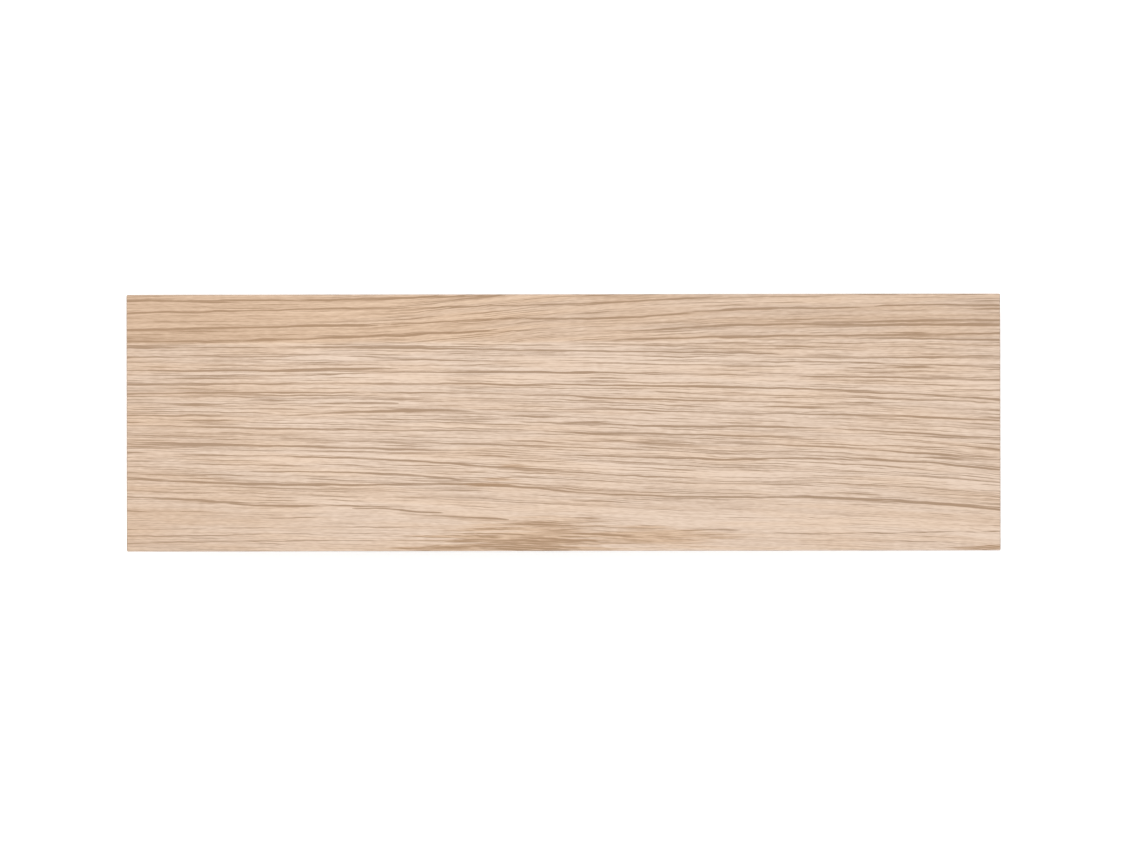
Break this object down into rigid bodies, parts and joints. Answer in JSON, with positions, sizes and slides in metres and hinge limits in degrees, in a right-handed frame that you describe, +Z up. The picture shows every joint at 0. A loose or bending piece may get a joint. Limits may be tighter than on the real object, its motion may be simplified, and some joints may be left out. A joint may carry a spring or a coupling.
{
  "type": "threshold strip",
  "caption": "Flat solid oak threshold strip whose hidden aluminium clip presses into a rail stuck to the subfloor, covering the joint between two floors in a doorway.",
  "frame": {"origin": "middle of the strip's length and width, on the subfloor under the rail's tapes", "axes": "+X along the doorway, +Y from the front floor to the back floor, +Z up out of the walking face"},
  "size_m": [0.238, 0.07, 0.02],
  "materials": {
    "lacquered_oak": "satin clear lacquer over pale plain-sawn oak",
    "mill_aluminium": "as extruded, fine lines along the profile",
    "zinc_steel": "bright zinc plated",
    "foam_rubber": "closed-cell foam, matt",
    "foam_tape": "white foam tape, matt"
  },
  "bodies": {
    "base": {"base_rail": "mill_aluminium", "front_tape": "foam_tape", "back_tape": "foam_tape"},
    "cap": {"oak_strip": "lacquered_oak", "clip_carrier": "mill_aluminium", "carrier_screw_1": "zinc_steel", "carrier_screw_2": "zinc_steel", "carrier_screw_3": "zinc_steel", "carrier_screw_4": "zinc_steel", "carrier_screw_5": "zinc_steel", "carrier_screw_6": "zinc_steel", "front_cushion": "foam_rubber", "back_cushion": "foam_rubber"}
  },
  "joints": [
    {"name": "cap_lift", "type": "slide", "parent": "base", "child": "cap", "axis": [0, 0, 1], "range_m": [0, 0.025]}
  ]
}
